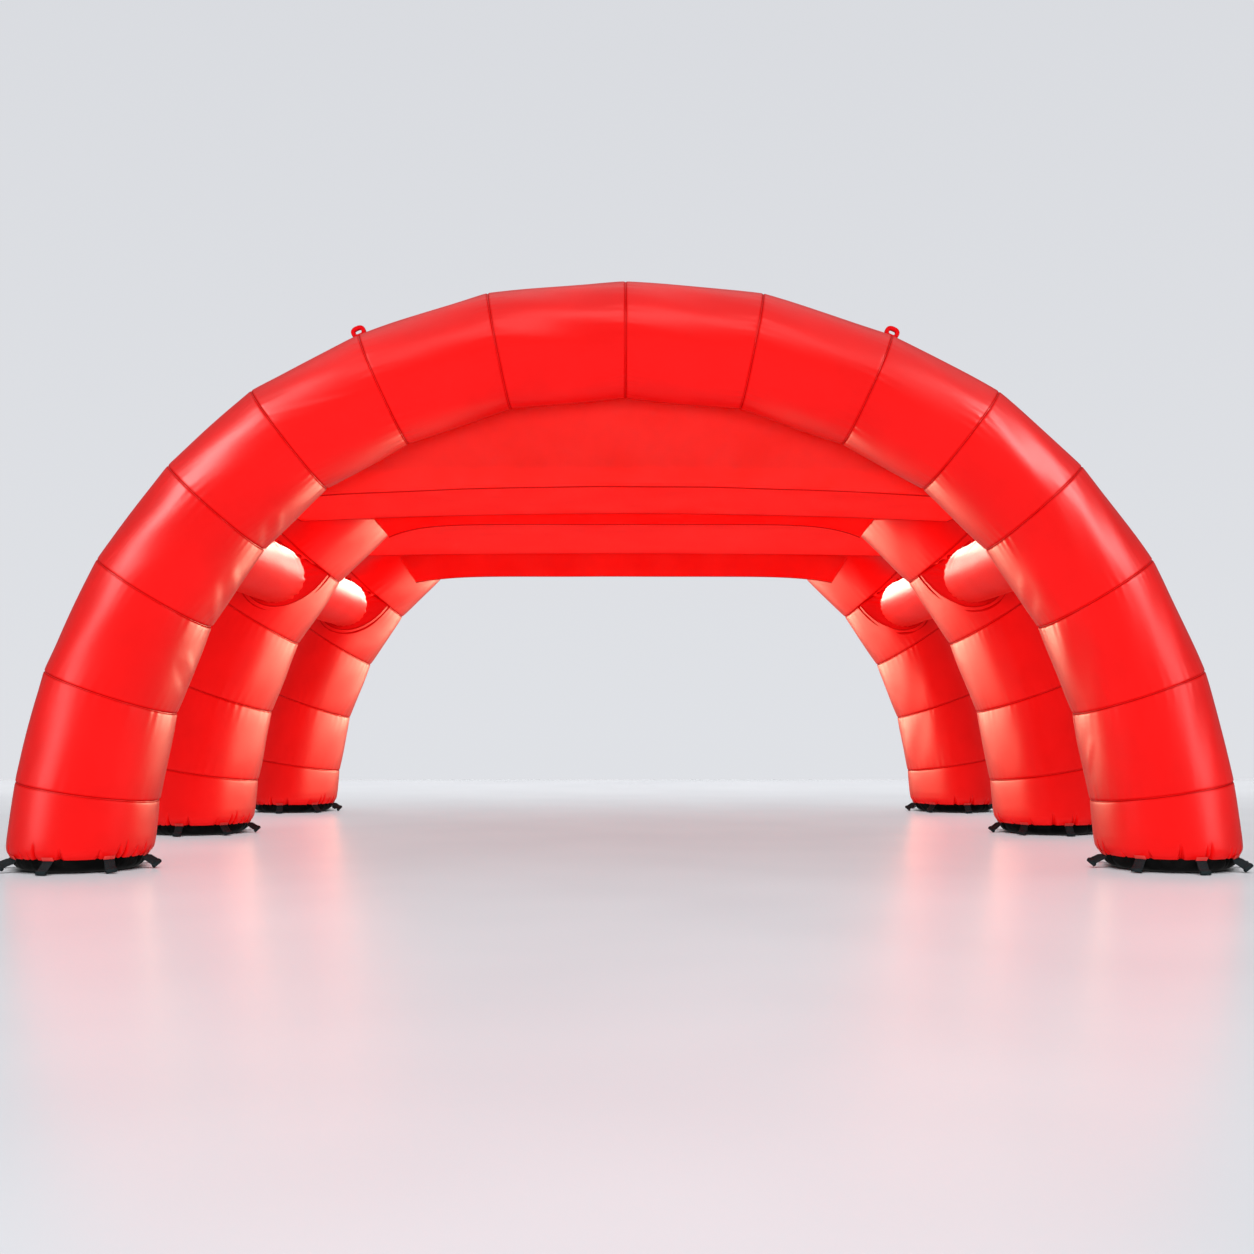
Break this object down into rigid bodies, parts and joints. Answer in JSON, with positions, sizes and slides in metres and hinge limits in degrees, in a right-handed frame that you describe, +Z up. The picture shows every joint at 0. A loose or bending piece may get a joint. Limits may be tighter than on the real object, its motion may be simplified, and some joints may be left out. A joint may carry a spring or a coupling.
{
  "type": "inflatable arch tunnel",
  "caption": "Inflatable arch tunnel: blown-up cloth tube arches tied by spacer tubes, with flat ceiling cloths, hanging headers and black feet with tie-down straps.",
  "frame": {"origin": "on the ground under the middle of the tunnel, at the centre of the bounding box's underside", "axes": "+X across the span to the right foot, +Y from the front arch to the rear arch, +Z up"},
  "size_m": [8.2026, 6.816, 3.9105],
  "materials": {
    "red_cloth": "satin coated",
    "black_cloth": "satin coated",
    "black_webbing": "woven",
    "red_webbing": "woven"
  },
  "bodies": {
    "root": {"arch_front": "red_cloth", "arch_middle": "red_cloth", "arch_rear": "red_cloth", "base_front_left": "black_cloth", "base_front_right": "black_cloth", "base_middle_left": "black_cloth", "base_middle_right": "black_cloth", "base_rear_left": "black_cloth", "base_rear_right": "black_cloth", "spacer_front_left": "red_cloth", "spacer_front_right": "red_cloth", "spacer_middle_left": "red_cloth", "spacer_middle_right": "red_cloth", "header_front": "red_cloth", "header_middle": "red_cloth", "header_rear": "red_cloth", "ceiling_front": "red_cloth", "ceiling_rear": "red_cloth", "strap_front_left_1": "black_webbing", "strap_front_left_2": "black_webbing", "strap_front_left_3": "black_webbing", "strap_front_left_4": "black_webbing", "strap_front_left_5": "black_webbing", "strap_front_left_6": "black_webbing", "strap_front_right_1": "black_webbing", "strap_front_right_2": "black_webbing", "strap_front_right_3": "black_webbing", "strap_front_right_4": "black_webbing", "strap_front_right_5": "black_webbing", "strap_front_right_6": "black_webbing", "strap_middle_left_1": "black_webbing", "strap_middle_left_2": "black_webbing", "strap_middle_left_3": "black_webbing", "strap_middle_left_4": "black_webbing", "strap_middle_left_5": "black_webbing", "strap_middle_left_6": "black_webbing", "strap_middle_right_1": "black_webbing", "strap_middle_right_2": "black_webbing", "strap_middle_right_3": "black_webbing", "strap_middle_right_4": "black_webbing", "strap_middle_right_5": "black_webbing", "strap_middle_right_6": "black_webbing", "strap_rear_left_1": "black_webbing", "strap_rear_left_2": "black_webbing", "strap_rear_left_3": "black_webbing", "strap_rear_left_4": "black_webbing", "strap_rear_left_5": "black_webbing", "strap_rear_left_6": "black_webbing", "strap_rear_right_1": "black_webbing", "strap_rear_right_2": "black_webbing", "strap_rear_right_3": "black_webbing", "strap_rear_right_4": "black_webbing", "strap_rear_right_5": "black_webbing", "strap_rear_right_6": "black_webbing", "loop_front_left": "red_webbing", "loop_front_right": "red_webbing", "loop_rear_left": "red_webbing", "loop_rear_right": "red_webbing"}
  },
  "joints": []
}
